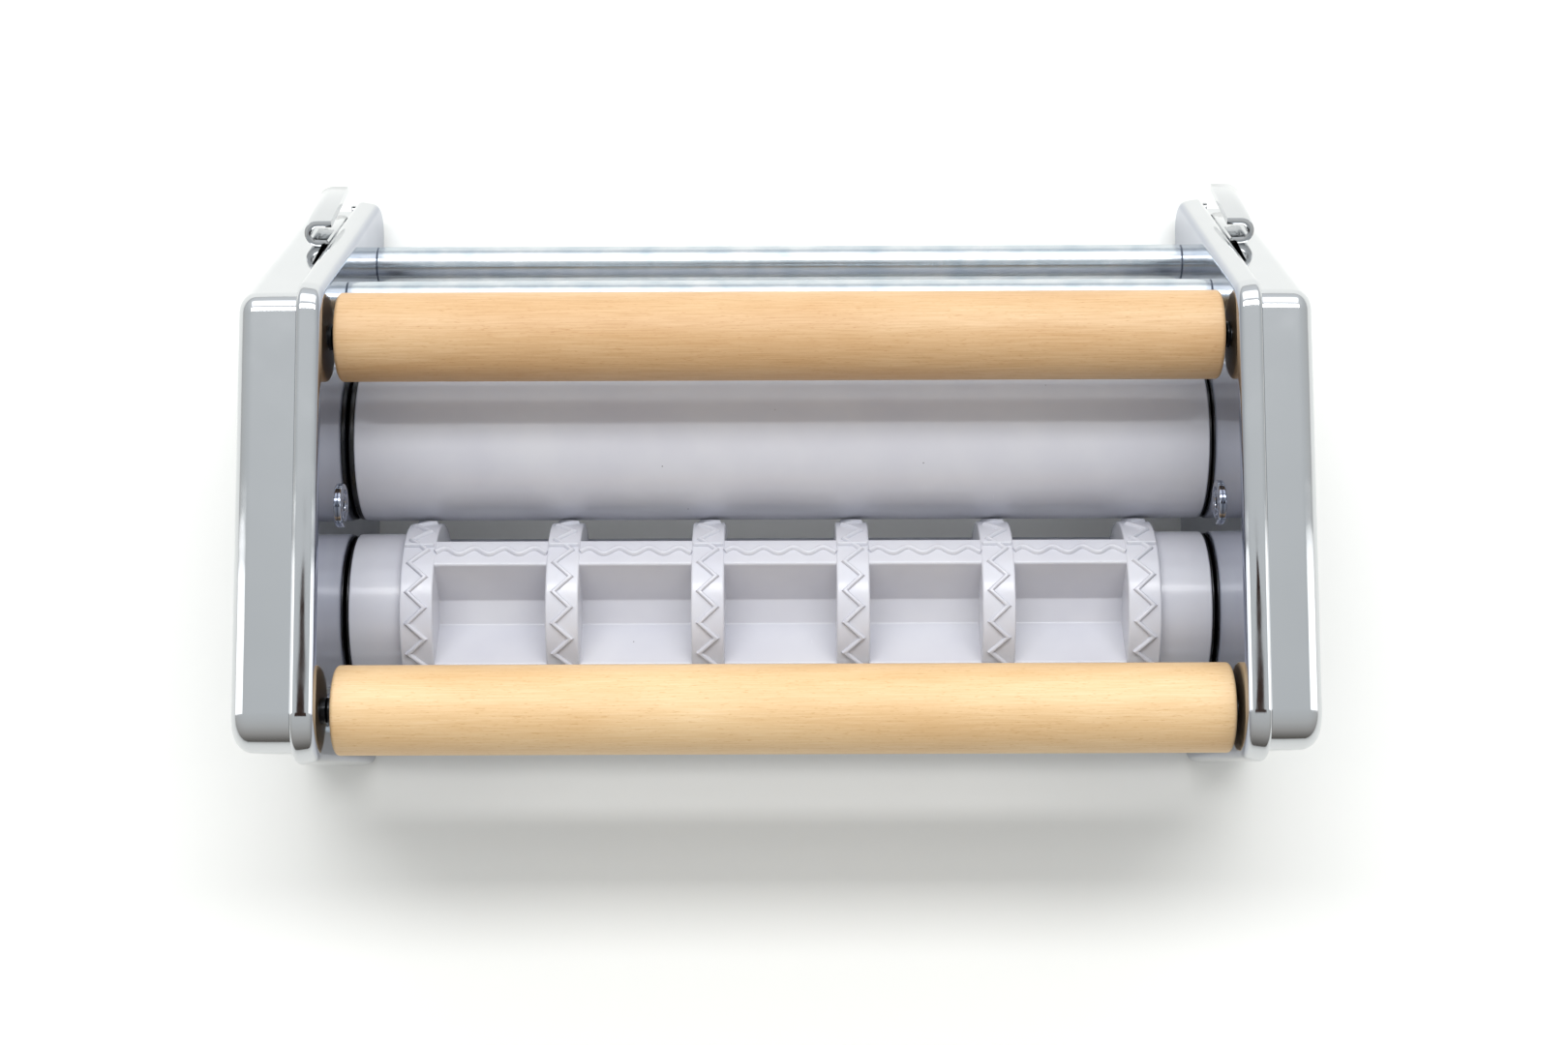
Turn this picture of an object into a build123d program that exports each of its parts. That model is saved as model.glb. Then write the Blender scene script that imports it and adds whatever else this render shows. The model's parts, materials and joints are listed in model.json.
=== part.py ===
from build123d import *
import os
from math import acos, atan2, cos, pi, radians, sin, tan

# Ravioli roller attachment for a hand-cranked pasta machine, built as an assembly.
# +X runs along the rollers towards the crank, +Y points back to the hooks, +Z is up.
# The origin is on the table, under the middle of the overall box. Sizes are in mm.

# Layout, measured from the plane midway between the inner walls and from the roller nip
WALL_MID_X = 0.8
NIP_Y = -12.742
HALF_GAP = 90.0
SIDES = (("left", -1), ("right", 1))

# Side panels: a shallow pan of chromed steel with a deeper cover pan nested in its rim
PANEL_HEIGHT = 76.0
PANEL_FRONT = NIP_Y - 50.9
PANEL_TOP_BACK = NIP_Y + 42.5
PANEL_BASE_BACK = NIP_Y + 80.4
PANEL_CORNER_RADII = [4.0, 10.0, 7.2, 7.0]
SHEET = 1.5
RIM_DEPTH = 5.0
RIM_EDGE_RADIUS = 1.4
COVER_INSET = 2.3
COVER_EDGE_RADIUS = 3.5
COVER_OUTER = {-1: 107.1, 1: 105.5}

# Dough rollers: both turn on 12 mm shafts, side by side and geared one to one
ROLLER_CENTRES = 36.0
ROLLER_HEIGHT = 28.5
RAVIOLI_AXIS = (NIP_Y - ROLLER_CENTRES / 2, ROLLER_HEIGHT)
SMOOTH_AXIS = (NIP_Y + ROLLER_CENTRES / 2, ROLLER_HEIGHT)
SHAFT_RADIUS = 6.0
PRESS_GAP = 0.02
RUNNING_GAP = 0.05

# Ravioli roller: six rings and four bars leave twenty pockets in five columns
POCKET_PITCH = 30.0
POCKET_COLUMNS = 5
BAR_COUNT = 4
BAR_WIDTH = 6.85
CRIMP_RADIUS = 18.6
PLAIN_END_RADIUS = 16.4
POCKET_FLOOR = 7.4
BAR_ANGLE = 52.0
RAVIOLI_HALF_LENGTH = 89.2

# Smooth roller
SMOOTH_RADIUS = 16.6
SLEEVE_BORE = 13.5
SLEEVE_LEFT = -88.6
SLEEVE_RIGHT = 89.4
PLUG_LENGTH = 8.0

# Black discs on the roller ends, which run 0.3 mm clear of the walls
END_DISC_GAP = 0.3
END_DISC_INSET = 0.3

# Nylon bushes and the stack of gear, pin and clips on each shaft
BUSH_RADIUS = 7.5
BUSH_FLANGE_RADIUS = 10.5
BUSH_END = HALF_GAP + 2 * SHEET
HUB_START = BUSH_END + 0.3
HUB_LENGTH = 4.0
HUB_RADIUS = 10.0
GEAR_START = HUB_START + HUB_LENGTH
GEAR_WIDTH = 6.0
PIN_RADIUS = 1.0
CLIP_THICK = 1.0
CLIP_RADIUS = 8.6
GROOVE_RADIUS = 5.3
CLIP_GROOVE_PLAY = 0.1
CLIP_MOUTH = 1.4
LEFT_CLIP_START = GEAR_START + GEAR_WIDTH + 0.05
RIGHT_CLIP_START = BUSH_END + 0.3
SHAFT_LEFT = 105.0
SMOOTH_SHAFT_RIGHT = 95.8
RAVIOLI_SHAFT_RIGHT = 104.8

# Crank socket in the right end of the ravioli shaft
SOCKET_RADIUS = 4.1
SOCKET_DEPTH = 14.0
SOCKET_SLOT_WIDTH = 2.0
SOCKET_SLOT_DEPTH = 4.0
CRANK_HOLE_RADIUS = 8.5

# Gears
GEAR_MODULE = 2.0
GEAR_TEETH = 18
PRESSURE_ANGLE = radians(20)
BACKLASH = 0.2

# Wooden guide rollers on thin steel axles
GUIDE_RADIUS = 9.0
GUIDE_LENGTH = 177.5
GUIDE_HEIGHT = 60.7
GUIDE_CHAMFER = 0.4
GUIDE_ROLLERS = {"rear": (NIP_Y + 35.2, 0.0), "front": (NIP_Y - 40.0, 0.5)}
AXLE_RADIUS = 1.5
AXLE_GROOVE_RADIUS = 1.1
AXLE_CLIP_RADIUS = 3.2
AXLE_CLIP_START = HALF_GAP + SHEET + 0.2
AXLE_CLIP_THICK = 0.6
AXLE_END = HALF_GAP + 3.6
SPACER_RADIUS = 2.6
SPACER_PLAY = 0.3

# Tie rods with a screw in each end
ROD_RADIUS = 4.0
TIE_RODS = {
    "rear_upper_tie_rod": (NIP_Y + 46.0, 44.3),
    "rear_lower_tie_rod": (NIP_Y + 61.5, 7.5),
    "front_tie_rod": (NIP_Y - 40.0, 44.0),
}
SCREW_RADIUS = 2.0
SCREW_HEAD_RADIUS = 3.3
SCREW_HEAD_HEIGHT = 2.8
SCREW_REACH = 10.0
DRIVER_SLOT = 1.0

# Tubular rivets that locate the filling hopper
STUD_AXIS = (NIP_Y + 2.2, 50.3)
STUD_RADIUS = 4.55
STUD_HEAD = 0.8
STUD_SHANK = 2.5
STUD_TAIL = 3.4
STUD_BORE = 1.5

# Posts and countersunk screws that hold the covers
POST_AXES = ((NIP_Y - 5.0, 66.0), (NIP_Y - 41.0, 10.0), (NIP_Y + 34.0, 10.0))
POST_RADIUS = 3.5
COVER_SCREW_RADIUS = 1.6
COVER_SCREW_HEAD = 3.1
COVER_SCREW_REACH = 7.0

# Hooks: bent sheet that comes through a slot in the sloping back of each cover
SLOPE = atan2(PANEL_BASE_BACK - PANEL_TOP_BACK, PANEL_HEIGHT)
HOOK_TOP = 41.5
HOOK_LENGTH = 23.0
HOOK_BLADE = 95.3
HOOK_BEND = 1.2
HOOK_TURN_X = 98.0
BLADE_LENGTH = 18.0
BLADE_DEPTH = -4.0
HOOK_GAPS = {"top": 2.6, "bottom": 5.0}
FOOT_LENGTH = 10.0
FOOT_DEPTH = -12.0
FOOT_END = -25.0
HOOK_RIVETS = ((44.1, -19.5), (48.9, -19.5))
HOOK_RIVET_RADIUS = 1.25
HOOK_RIVET_HEAD = 2.0
SLOT_TOP = 26.5
SLOT_WIDTH = 2.8

# Small locating nib near the bottom of each cover's back
NIB_PLACE = (96.0, 77.0)
NIB_SIZE = 1.4
NIB_HEIGHT = 0.6


def save(piece, name):
    """Label a finished piece and write its STEP file."""
    piece.part.label = name
    export_step(piece.part, f"parts/{name}.step")


def across(x):
    """Plane square to the rollers, x from the mid-plane, with local axes Y and Z."""
    return Plane.YZ.offset(WALL_MID_X + x)


def disc(x_from, x_to, axis, radius, mode=Mode.ADD):
    """Round bar or hole along X between two stations."""
    with BuildSketch(across(min(x_from, x_to))) as face:
        with Locations(axis):
            Circle(radius)
    extrude(face.sketch, amount=abs(x_to - x_from), mode=mode)


def ring(x_from, x_to, axis, outer, inner, mode=Mode.ADD):
    """Round tube or groove along X between two stations."""
    with BuildSketch(across(min(x_from, x_to))) as face:
        with Locations(axis):
            Circle(outer)
            Circle(inner, mode=Mode.SUBTRACT)
    extrude(face.sketch, amount=abs(x_to - x_from), mode=mode)


def taper(x_from, x_to, axis, radius_from, radius_to, mode=Mode.ADD):
    """Cone along X between two stations, such as a countersink."""
    with BuildSketch(across(x_from)) as near:
        with Locations(axis):
            Circle(radius_from)
    with BuildSketch(across(x_to)) as far:
        with Locations(axis):
            Circle(radius_to)
    loft([near.sketch, far.sketch], mode=mode)


def panel_outline(x, inset):
    """Side view of a panel: upright front, flat top and sloping back, drawn in by inset."""
    with BuildSketch(across(x)) as outline:
        with BuildLine():
            FilletPolyline(
                (PANEL_FRONT, 0),
                (PANEL_FRONT, PANEL_HEIGHT),
                (PANEL_TOP_BACK, PANEL_HEIGHT),
                (PANEL_BASE_BACK, 0),
                radius=PANEL_CORNER_RADII,
                close=True,
            )
        make_face()
        if inset:
            offset(amount=-inset)
    return outline.sketch


def back_plane(depth):
    """Plane on the sloping back, depth out from it, with local axes X and down the slope."""
    origin = Vector(WALL_MID_X, PANEL_TOP_BACK, PANEL_HEIGHT)
    outwards = Vector(0, cos(SLOPE), sin(SLOPE))
    return Plane(origin=origin + outwards * depth, x_dir=(1, 0, 0), z_dir=outwards)


def slope_section(down_slope):
    """Plane square to the slope, local axes X and outwards, zero at the cover's face."""
    face = back_plane(-COVER_INSET)
    origin = face.from_local_coords((0, down_slope, 0))
    return Plane(origin=origin, x_dir=(1, 0, 0), z_dir=-face.y_dir)


def side_frame(sign):
    """Inner wall with its outward rim, pierced for bushes, axles, screws and rivets."""
    wall = sign * HALF_GAP
    inside = wall + sign * SHEET
    with BuildPart() as frame:
        extrude(panel_outline(wall, 0), amount=sign * RIM_DEPTH)
        wall_face = frame.faces().filter_by(Axis.X).sort_by(Axis.X)[0 if sign > 0 else -1]
        fillet(wall_face.edges(), radius=RIM_EDGE_RADIUS)
        extrude(panel_outline(inside, SHEET), amount=sign * RIM_DEPTH, mode=Mode.SUBTRACT)
        for axis in (RAVIOLI_AXIS, SMOOTH_AXIS):
            disc(wall, inside, axis, BUSH_RADIUS + PRESS_GAP, Mode.SUBTRACT)
        for guide_y, _ in GUIDE_ROLLERS.values():
            disc(wall, inside, (guide_y, GUIDE_HEIGHT), AXLE_RADIUS + PRESS_GAP, Mode.SUBTRACT)
        for axis in TIE_RODS.values():
            disc(wall, inside, axis, SCREW_RADIUS + PRESS_GAP, Mode.SUBTRACT)
        disc(wall, inside, STUD_AXIS, STUD_SHANK + PRESS_GAP, Mode.SUBTRACT)
        for axis in hook_rivet_axes():
            disc(wall, inside, axis, HOOK_RIVET_RADIUS + PRESS_GAP, Mode.SUBTRACT)
    return frame


def side_cover(sign):
    """Outer pan with a slot for the hook; the right one also has the crank hole."""
    start = sign * (HALF_GAP + SHEET)
    outer = sign * COVER_OUTER[sign]
    cavity_end = outer - sign * SHEET
    slot_length = HOOK_TOP + BLADE_LENGTH - SLOT_TOP
    slot_middle = (sign * (HOOK_BLADE + SHEET / 2), SLOT_TOP + slot_length / 2)
    with BuildPart() as cover:
        extrude(panel_outline(start, COVER_INSET), amount=outer - start)
        outer_face = cover.faces().filter_by(Axis.X).sort_by(Axis.X)[-1 if sign > 0 else 0]
        fillet(outer_face.edges(), radius=COVER_EDGE_RADIUS)
        open_face = cover.faces().filter_by(Axis.X).sort_by(Axis.X)[0 if sign > 0 else -1]
        offset(amount=-SHEET, openings=open_face)
        with BuildSketch(back_plane(0)) as slot:
            with Locations(slot_middle):
                SlotOverall(slot_length + SLOT_WIDTH, SLOT_WIDTH, rotation=90)
        extrude(slot.sketch, amount=-(COVER_INSET + 2 * SHEET), mode=Mode.SUBTRACT)
        with BuildSketch(back_plane(NIB_HEIGHT - COVER_INSET)) as nib:
            with Locations((sign * NIB_PLACE[0], NIB_PLACE[1])):
                Rectangle(NIB_SIZE, NIB_SIZE)
        extrude(nib.sketch, amount=-(NIB_HEIGHT + SHEET / 2))
        for axis in POST_AXES:
            taper(cavity_end, outer, axis, COVER_SCREW_RADIUS, COVER_SCREW_HEAD, Mode.SUBTRACT)
        if sign > 0:
            disc(cavity_end, outer, RAVIOLI_AXIS, CRANK_HOLE_RADIUS, Mode.SUBTRACT)
    return cover


def hook_section(down_slope, gap):
    """Sheet section: a blade out of the slot, a bend outwards and a U back over the cover."""
    with BuildSketch(slope_section(down_slope)) as section:
        with BuildLine():
            Line((HOOK_BLADE, 0), (HOOK_BLADE, SHEET - HOOK_BEND))
            bend_end = (HOOK_BLADE + HOOK_BEND, SHEET)
            TangentArc((HOOK_BLADE, SHEET - HOOK_BEND), bend_end, tangent=(0, 1))
            Line(bend_end, (HOOK_TURN_X, SHEET))
            TangentArc((HOOK_TURN_X, SHEET), (HOOK_TURN_X, SHEET + gap), tangent=(1, 0))
            Line((HOOK_TURN_X, SHEET + gap), (HOOK_BLADE, SHEET + gap))
            offset(amount=SHEET, side=Side.RIGHT)
        make_face()
    return section.sketch


def sheet_strip(x_from, x_to, depth_from, depth_to, length):
    """Flat strip of the hook that starts at its top and runs down the slope."""
    with BuildSketch(slope_section(HOOK_TOP + length)) as face:
        with Locations(((x_from + x_to) / 2, (depth_from + depth_to) / 2)):
            Rectangle(abs(x_to - x_from), abs(depth_to - depth_from))
    extrude(face.sketch, amount=length)


def hook_rivet_axes():
    """Y and Z of the two rivets that hold a hook's foot to the wall."""
    axes = []
    for down_slope, depth in HOOK_RIVETS:
        place = slope_section(down_slope).from_local_coords((0, depth, 0))
        axes.append((place.Y, place.Z))
    return axes


def gear_outline(x, axis, turn):
    """Involute spur gear drawn flank by flank from its base circle to its tip."""
    pitch_radius = GEAR_MODULE * GEAR_TEETH / 2
    base_radius = pitch_radius * cos(PRESSURE_ANGLE)
    root_radius = pitch_radius - 1.25 * GEAR_MODULE
    tip_radius = pitch_radius + GEAR_MODULE
    half_tooth = (pi * GEAR_MODULE / 2 - BACKLASH / 2) / (2 * pitch_radius)

    def involute(radius):
        slant = acos(min(1.0, base_radius / radius))
        return tan(slant) - slant

    def flank(radius, middle, side):
        spread = half_tooth + involute(pitch_radius) - involute(max(radius, base_radius))
        return at(radius, middle + side * spread)

    def at(radius, angle):
        return (radius * cos(angle), radius * sin(angle))

    gear_plane = Plane(origin=(WALL_MID_X + x, *axis), x_dir=(0, 1, 0), z_dir=(1, 0, 0))
    with BuildSketch(gear_plane) as outline:
        with BuildLine():
            for tooth in range(GEAR_TEETH):
                middle = turn + 2 * pi * tooth / GEAR_TEETH
                following = middle + 2 * pi / GEAR_TEETH
                for side in (-1, 1):
                    Line(flank(root_radius, middle, side), flank(base_radius, middle, side))
                    ThreePointArc(
                        flank(base_radius, middle, side),
                        flank(pitch_radius, middle, side),
                        flank(tip_radius, middle, side),
                    )
                ThreePointArc(
                    flank(tip_radius, middle, -1),
                    at(tip_radius, middle),
                    flank(tip_radius, middle, 1),
                )
                ThreePointArc(
                    flank(root_radius, middle, 1),
                    at(root_radius, (middle + following) / 2),
                    flank(root_radius, following, -1),
                )
        make_face()
    return outline.sketch


def roller_gear(axis, turn):
    """Spur gear with a hub towards the wall, bored for the shaft and cross-drilled for its pin."""
    with BuildPart() as gear:
        extrude(gear_outline(-GEAR_START, axis, turn), amount=-GEAR_WIDTH)
        disc(-HUB_START, -GEAR_START, axis, HUB_RADIUS)
        bore_end = GEAR_START + GEAR_WIDTH
        disc(-HUB_START, -bore_end, axis, SHAFT_RADIUS + PRESS_GAP, Mode.SUBTRACT)
        cross_bar(axis, HUB_RADIUS, PIN_RADIUS + PRESS_GAP, Mode.SUBTRACT)
    return gear


def cross_bar(axis, reach, radius, mode=Mode.ADD):
    """Upright round bar or hole through the middle of the gear hub."""
    middle = WALL_MID_X - HUB_START - HUB_LENGTH / 2
    with BuildSketch(Plane.XY.offset(axis[1] - reach)) as face:
        with Locations((middle, axis[0])):
            Circle(radius)
    extrude(face.sketch, amount=2 * reach, mode=mode)


def shaft_clip(x_from, x_to, axis, outer, inner):
    """Open spring clip, snapped into a groove from below."""
    ring(x_from, x_to, axis, outer, inner)
    with BuildSketch(across(min(x_from, x_to))) as mouth:
        with Locations((axis[0], axis[1] - outer / 2)):
            Rectangle(CLIP_MOUTH * inner, outer)
    extrude(mouth.sketch, amount=abs(x_to - x_from), mode=Mode.SUBTRACT)


def roller_shaft(axis, right_end, right_groove):
    """Steel shaft with a clip groove at each end and the cross hole for the gear pin."""
    with BuildPart() as shaft:
        disc(-SHAFT_LEFT, right_end, axis, SHAFT_RADIUS)
        for start in (-LEFT_CLIP_START - CLIP_THICK, right_groove):
            edge = CLIP_GROOVE_PLAY / 2
            ring(
                start - edge,
                start + CLIP_THICK + edge,
                axis,
                SHAFT_RADIUS,
                GROOVE_RADIUS,
                Mode.SUBTRACT,
            )
        cross_bar(axis, HUB_RADIUS, PIN_RADIUS + PRESS_GAP, Mode.SUBTRACT)
    return shaft


def pocket_section(x):
    """Crossed bars on a square core: the roller's section between two rings."""
    with BuildSketch(across(x)) as section:
        with Locations(RAVIOLI_AXIS):
            for bar in range(BAR_COUNT // 2):
                Rectangle(2 * CRIMP_RADIUS, BAR_WIDTH, rotation=BAR_ANGLE + 90 * bar)
            Rectangle(2 * POCKET_FLOOR, 2 * POCKET_FLOOR, rotation=BAR_ANGLE + 45)
            Circle(CRIMP_RADIUS, mode=Mode.INTERSECT)
    return section.sketch


def guide_gap(offset_x, sign):
    """Space between an inner wall and the near end of a guide roller."""
    return HALF_GAP - GUIDE_LENGTH / 2 - sign * offset_x


os.makedirs("parts", exist_ok=True)

# Side panels
for side, sign in SIDES:
    save(side_frame(sign), f"{side}_side_frame")
    save(side_cover(sign), f"{side}_side_cover")

# Hooks: the flared lip outside, and a foot that is riveted to the wall inside the cover
with BuildPart() as right_hook:
    upper = hook_section(HOOK_TOP, HOOK_GAPS["top"])
    lower = hook_section(HOOK_TOP + HOOK_LENGTH, HOOK_GAPS["bottom"])
    loft([upper, lower])
    wall_face = HALF_GAP + SHEET
    blade_face = HOOK_BLADE + SHEET
    sheet_strip(HOOK_BLADE, blade_face, SHEET / 2, BLADE_DEPTH, BLADE_LENGTH)
    sheet_strip(HOOK_BLADE, blade_face, 0, FOOT_DEPTH, FOOT_LENGTH)
    sheet_strip(wall_face, blade_face, FOOT_DEPTH, FOOT_DEPTH - SHEET, FOOT_LENGTH)
    sheet_strip(wall_face, wall_face + SHEET, FOOT_DEPTH, FOOT_END, FOOT_LENGTH)
    for axis in hook_rivet_axes():
        hole_radius = HOOK_RIVET_RADIUS + PRESS_GAP
        disc(wall_face, wall_face + SHEET, axis, hole_radius, Mode.SUBTRACT)
save(right_hook, "right_hook")

with BuildPart() as left_hook:
    mirror(right_hook.part, about=across(0))
save(left_hook, "left_hook")

with BuildPart() as hook_rivets:
    for side, sign in SIDES:
        for axis in hook_rivet_axes():
            foot_face = HALF_GAP + 2 * SHEET
            disc(sign * HALF_GAP, sign * foot_face, axis, HOOK_RIVET_RADIUS)
            disc(sign * foot_face, sign * (foot_face + 1.0), axis, HOOK_RIVET_HEAD)
save(hook_rivets, "hook_rivets")

# Tie rods, each with a blind hole in both ends for its screws
for name, axis in TIE_RODS.items():
    with BuildPart() as tie_rod:
        disc(-HALF_GAP, HALF_GAP, axis, ROD_RADIUS)
        for side, sign in SIDES:
            hole_end = HALF_GAP - SCREW_REACH - 2.0
            hole_radius = SCREW_RADIUS + PRESS_GAP
            disc(sign * hole_end, sign * HALF_GAP, axis, hole_radius, Mode.SUBTRACT)
    save(tie_rod, name)

with BuildPart() as tie_rod_screws:
    for axis in TIE_RODS.values():
        for side, sign in SIDES:
            seat = HALF_GAP + SHEET
            head_end = seat + SCREW_HEAD_HEIGHT
            disc(sign * (HALF_GAP - SCREW_REACH), sign * seat, axis, SCREW_RADIUS)
            disc(sign * seat, sign * head_end, axis, SCREW_HEAD_RADIUS)
            with BuildSketch(across(sign * head_end)):
                with Locations(axis):
                    Rectangle(2 * SCREW_HEAD_RADIUS, DRIVER_SLOT)
            extrude(amount=-sign * SCREW_HEAD_HEIGHT / 2, mode=Mode.SUBTRACT)
save(tie_rod_screws, "tie_rod_screws")

# Hopper studs: tubular rivets set in the inner walls
for side, sign in SIDES:
    with BuildPart() as hopper_stud:
        tail_start = HALF_GAP + SHEET
        disc(sign * (HALF_GAP - STUD_HEAD), sign * HALF_GAP, STUD_AXIS, STUD_RADIUS)
        rim = hopper_stud.edges().sort_by(Axis.X)[-1 if sign < 0 else 0]
        fillet(rim, radius=STUD_HEAD / 2)
        disc(sign * HALF_GAP, sign * tail_start, STUD_AXIS, STUD_SHANK)
        disc(sign * tail_start, sign * (tail_start + STUD_HEAD), STUD_AXIS, STUD_TAIL)
        bore_start = sign * (HALF_GAP - STUD_HEAD)
        disc(bore_start, sign * (tail_start + STUD_HEAD), STUD_AXIS, STUD_BORE, Mode.SUBTRACT)
    save(hopper_stud, f"{side}_hopper_stud")

# Cover posts and their countersunk screws, flush with the covers
with BuildPart() as cover_posts:
    for side, sign in SIDES:
        for axis in POST_AXES:
            post_end = COVER_OUTER[sign] - SHEET
            hole_start = post_end - COVER_SCREW_REACH
            disc(sign * (HALF_GAP + SHEET), sign * post_end, axis, POST_RADIUS)
            hole_radius = COVER_SCREW_RADIUS + PRESS_GAP
            disc(sign * hole_start, sign * post_end, axis, hole_radius, Mode.SUBTRACT)
save(cover_posts, "cover_posts")

with BuildPart() as cover_screws:
    for side, sign in SIDES:
        for axis in POST_AXES:
            face = COVER_OUTER[sign]
            seat = face - SHEET
            tip = seat - COVER_SCREW_REACH + 1.0
            disc(sign * tip, sign * seat, axis, COVER_SCREW_RADIUS)
            taper(sign * seat, sign * face, axis, COVER_SCREW_RADIUS, COVER_SCREW_HEAD - PRESS_GAP)
            with BuildSketch(across(sign * face)):
                with Locations(axis):
                    Rectangle(2 * COVER_SCREW_HEAD, DRIVER_SLOT)
            extrude(amount=-sign * SHEET / 2, mode=Mode.SUBTRACT)
save(cover_screws, "cover_screws")

# Wooden guide rollers with their axles, spacers and clips
for name, (guide_y, offset_x) in GUIDE_ROLLERS.items():
    axis = (guide_y, GUIDE_HEIGHT)
    with BuildPart() as guide_roller:
        disc(offset_x - GUIDE_LENGTH / 2, offset_x + GUIDE_LENGTH / 2, axis, GUIDE_RADIUS)
        chamfer(guide_roller.edges(), length=GUIDE_CHAMFER)
        bore_radius = AXLE_RADIUS + RUNNING_GAP
        disc(-HALF_GAP, HALF_GAP, axis, bore_radius, Mode.SUBTRACT)
    save(guide_roller, f"{name}_guide_roller")

    with BuildPart() as guide_axle:
        disc(-AXLE_END, AXLE_END, axis, AXLE_RADIUS)
        for side, sign in SIDES:
            groove_end = AXLE_CLIP_START + AXLE_CLIP_THICK + CLIP_GROOVE_PLAY
            ring(
                sign * AXLE_CLIP_START,
                sign * groove_end,
                axis,
                AXLE_RADIUS,
                AXLE_GROOVE_RADIUS,
                Mode.SUBTRACT,
            )
    save(guide_axle, f"{name}_guide_axle")

with BuildPart() as guide_spacers:
    for guide_y, offset_x in GUIDE_ROLLERS.values():
        for side, sign in SIDES:
            near_end = HALF_GAP - guide_gap(offset_x, sign) + SPACER_PLAY
            inner = AXLE_RADIUS + PRESS_GAP
            ring(sign * near_end, sign * HALF_GAP, (guide_y, GUIDE_HEIGHT), SPACER_RADIUS, inner)
save(guide_spacers, "guide_spacers")

with BuildPart() as guide_axle_clips:
    for guide_y, offset_x in GUIDE_ROLLERS.values():
        for side, sign in SIDES:
            start = AXLE_CLIP_START + CLIP_GROOVE_PLAY / 2
            inner = AXLE_GROOVE_RADIUS + PRESS_GAP
            axis = (guide_y, GUIDE_HEIGHT)
            shaft_clip(sign * start, sign * (start + AXLE_CLIP_THICK), axis, AXLE_CLIP_RADIUS, inner)
save(guide_axle_clips, "guide_axle_clips")

# Bushes in the walls for both roller shafts
with BuildPart() as roller_bushes:
    for side, sign in SIDES:
        for axis in (RAVIOLI_AXIS, SMOOTH_AXIS):
            bore = SHAFT_RADIUS + RUNNING_GAP
            ring(sign * HALF_GAP, sign * BUSH_END, axis, BUSH_RADIUS, bore)
            flange_start = HALF_GAP + SHEET
            ring(sign * flange_start, sign * BUSH_END, axis, BUSH_FLANGE_RADIUS, bore)
save(roller_bushes, "roller_bushes")

# Ravioli roller: plain ends, crossed bars on a square core, and the rings between pockets
with BuildPart() as ravioli_roller:
    first_ring = -POCKET_PITCH * POCKET_COLUMNS / 2
    for column in range(POCKET_COLUMNS + 1):
        middle = first_ring + column * POCKET_PITCH
        disc(middle - BAR_WIDTH / 2, middle + BAR_WIDTH / 2, RAVIOLI_AXIS, CRIMP_RADIUS)
    for column in range(POCKET_COLUMNS):
        start = first_ring + column * POCKET_PITCH + BAR_WIDTH / 2
        extrude(pocket_section(start), amount=POCKET_PITCH - BAR_WIDTH)
    for side, sign in SIDES:
        end_start = BAR_WIDTH / 2 - first_ring
        disc(sign * end_start, sign * RAVIOLI_HALF_LENGTH, RAVIOLI_AXIS, PLAIN_END_RADIUS)
    bore = SHAFT_RADIUS + PRESS_GAP
    disc(-RAVIOLI_HALF_LENGTH, RAVIOLI_HALF_LENGTH, RAVIOLI_AXIS, bore, Mode.SUBTRACT)
save(ravioli_roller, "ravioli_roller")

ravioli_roller_shaft = roller_shaft(RAVIOLI_AXIS, RAVIOLI_SHAFT_RIGHT, RIGHT_CLIP_START)
with ravioli_roller_shaft:
    socket_end = RAVIOLI_SHAFT_RIGHT - SOCKET_DEPTH
    disc(socket_end, RAVIOLI_SHAFT_RIGHT, RAVIOLI_AXIS, SOCKET_RADIUS, Mode.SUBTRACT)
    with BuildSketch(across(RAVIOLI_SHAFT_RIGHT)) as slot:
        with Locations(RAVIOLI_AXIS):
            Rectangle(2 * SHAFT_RADIUS, SOCKET_SLOT_WIDTH)
    extrude(slot.sketch, amount=-SOCKET_SLOT_DEPTH, mode=Mode.SUBTRACT)
save(ravioli_roller_shaft, "ravioli_roller_shaft")

# Smooth roller: a plastic sleeve on two steel plugs
with BuildPart() as smooth_roller_sleeve:
    ring(SLEEVE_LEFT, SLEEVE_RIGHT, SMOOTH_AXIS, SMOOTH_RADIUS, SLEEVE_BORE)
save(smooth_roller_sleeve, "smooth_roller_sleeve")

with BuildPart() as smooth_roller_plugs:
    bore = SHAFT_RADIUS + PRESS_GAP
    plug_radius = SLEEVE_BORE - PRESS_GAP
    ring(SLEEVE_LEFT, SLEEVE_LEFT + PLUG_LENGTH, SMOOTH_AXIS, plug_radius, bore)
    ring(SLEEVE_RIGHT - PLUG_LENGTH, SLEEVE_RIGHT, SMOOTH_AXIS, plug_radius, bore)
save(smooth_roller_plugs, "smooth_roller_plugs")

smooth_roller_shaft = roller_shaft(SMOOTH_AXIS, SMOOTH_SHAFT_RIGHT, RIGHT_CLIP_START)
save(smooth_roller_shaft, "smooth_roller_shaft")

# End discs of both rollers
end_discs = {
    "ravioli": (RAVIOLI_AXIS, -RAVIOLI_HALF_LENGTH, RAVIOLI_HALF_LENGTH, PLAIN_END_RADIUS),
    "smooth": (SMOOTH_AXIS, SLEEVE_LEFT, SLEEVE_RIGHT, SMOOTH_RADIUS),
}
for name, (axis, left_face, right_face, roller_radius) in end_discs.items():
    with BuildPart() as discs:
        outer = roller_radius - END_DISC_INSET
        inner = SHAFT_RADIUS + PRESS_GAP
        ring(END_DISC_GAP - HALF_GAP, left_face, axis, outer, inner)
        ring(right_face, HALF_GAP - END_DISC_GAP, axis, outer, inner)
    save(discs, f"{name}_end_discs")

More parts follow.
